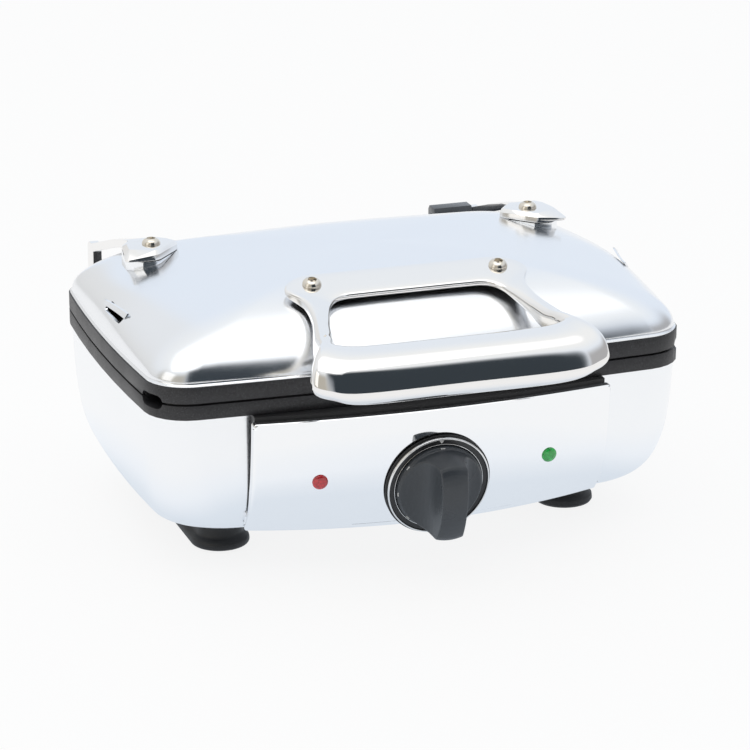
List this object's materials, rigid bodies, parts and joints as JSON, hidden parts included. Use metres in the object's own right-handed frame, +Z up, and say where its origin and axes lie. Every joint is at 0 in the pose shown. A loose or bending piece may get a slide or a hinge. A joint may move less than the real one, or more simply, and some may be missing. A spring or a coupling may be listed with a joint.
{
  "type": "waffle maker",
  "caption": "Rectangular two-waffle electric waffle maker: steel body with a front dial, hinged domed lid with a loop handle, and deep-pocket cast plates.",
  "frame": {"origin": "on the table, under the middle of the outline", "axes": "+X to the right seen from the front, +Y to the rear, where the hinge is, +Z up"},
  "size_m": [0.31, 0.32, 0.1525],
  "materials": {
    "polished_steel": "mirror-polished stainless steel",
    "body_steel": "softly polished stainless steel",
    "cast_steel": "polished cast stainless steel",
    "nonstick": "cast aluminium with a dark non-stick coat",
    "black_plastic": "satin black",
    "rubber_foot": "black rubber",
    "slate_plastic": "satin slate grey",
    "screw_steel": "warm nickel-toned steel",
    "zinc_steel": "zinc-plated steel",
    "galvanised": "plain sheet",
    "heater_sheath": "heat-darkened steel sheath",
    "ceramic": "unglazed ceramic",
    "red_lens": "red lamp lens",
    "green_lens": "green lamp lens",
    "dial_face": "dark dial ring",
    "chrome_trim": "bright trim ring"
  },
  "bodies": {
    "base": {"base_housing": "body_steel", "bottom_cover": "galvanised", "bottom_screws": "zinc_steel", "control_panel": "polished_steel", "panel_liner": "black_plastic", "dial_bezel": "chrome_trim", "dial_plate": "dial_face", "power_lamp_lens": "red_lens", "ready_lamp_lens": "green_lens", "lamp_holders": "black_plastic", "thermostat_body": "ceramic", "thermostat_bracket": "galvanised", "lower_grid_plate": "nonstick", "lower_heater": "heater_sheath", "lower_heat_shield": "galvanised", "lower_shield_screws": "zinc_steel", "plate_screws": "zinc_steel", "left_foot": "rubber_foot", "right_foot": "rubber_foot", "foot_screws": "zinc_steel", "cord_gland": "black_plastic", "terminal_block": "ceramic", "left_hinge_bracket": "galvanised", "right_hinge_bracket": "galvanised", "hinge_pins": "zinc_steel", "bracket_screws": "zinc_steel"},
    "dial": {"dial_knob": "slate_plastic", "thermostat_shaft": "zinc_steel"},
    "lid": {"lid_cover": "polished_steel", "upper_grid_plate": "nonstick", "upper_heater": "heater_sheath", "upper_heat_shield": "galvanised", "upper_shield_screws": "zinc_steel", "handle": "cast_steel", "handle_screws": "screw_steel", "left_hinge_arm": "cast_steel", "right_hinge_arm": "cast_steel", "hinge_arm_seats": "cast_steel", "hinge_arm_screws": "screw_steel", "wire_cover": "slate_plastic"}
  },
  "joints": [
    {"name": "lid_open", "type": "hinge", "parent": "base", "child": "lid", "pos_m": [0, 0.1525, 0.092], "axis": [-1, 0, 0], "range_deg": [0, 100]},
    {"name": "dial_turn", "type": "hinge", "parent": "base", "child": "dial", "pos_m": [0, -0.11201, 0.0469], "axis": [0, 0.9848, 0.1736], "range_deg": [0, 270]}
  ]
}
